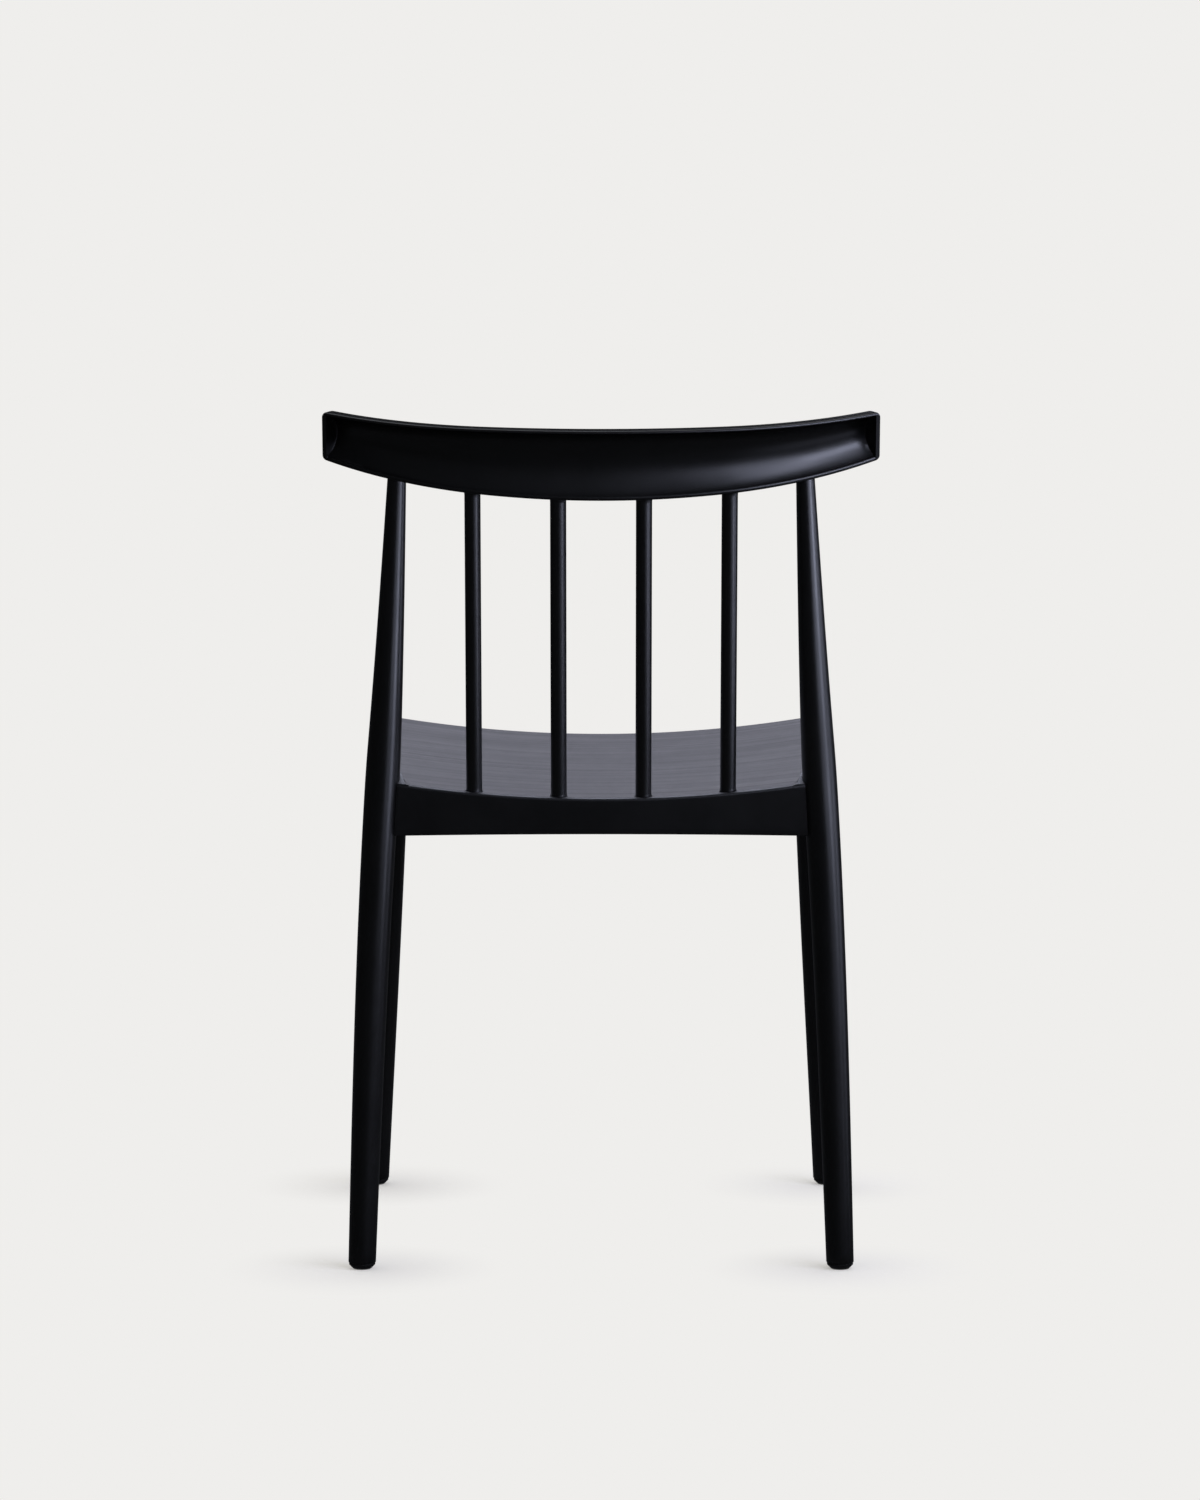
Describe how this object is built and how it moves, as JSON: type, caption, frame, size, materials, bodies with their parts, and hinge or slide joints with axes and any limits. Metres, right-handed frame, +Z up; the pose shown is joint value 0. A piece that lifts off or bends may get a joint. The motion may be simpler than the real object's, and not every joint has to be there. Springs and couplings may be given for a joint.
{
  "type": "plastic dining chair",
  "caption": "Stick-back dining chair in black moulded plastic: dished seat with a skirt, round tapered legs and a curved back rail with a scooped rear face.",
  "frame": {"origin": "on the floor, in the middle of the chair's width and of its depth from the seat's front edge to the back rail", "axes": "+Z up, +Y to the back of the chair, +X to the sitter's left"},
  "size_m": [0.5202, 0.5138, 0.8014],
  "materials": {
    "black_plastic": "satin moulded polypropylene, near black and slightly cool, with a fine mould grain",
    "seat_plastic": "satin moulded polypropylene with fine grain lines that run from side to side on the panel",
    "glide_plastic": "smooth dull polyethylene",
    "zinc_steel": "zinc plated",
    "brass": "turned"
  },
  "bodies": {
    "root": {"crest_rail": "black_plastic", "seat": "seat_plastic", "rear_leg_left": "black_plastic", "rear_leg_right": "black_plastic", "front_leg_left": "black_plastic", "front_leg_right": "black_plastic", "spindle_outer_left": "black_plastic", "spindle_inner_left": "black_plastic", "spindle_inner_right": "black_plastic", "spindle_outer_right": "black_plastic", "glide_rear_left": "glide_plastic", "glide_rear_right": "glide_plastic", "glide_front_left": "glide_plastic", "glide_front_right": "glide_plastic", "leg_bolts": "zinc_steel", "leg_washers": "zinc_steel", "leg_inserts": "brass", "spindle_screws": "zinc_steel"}
  },
  "joints": []
}
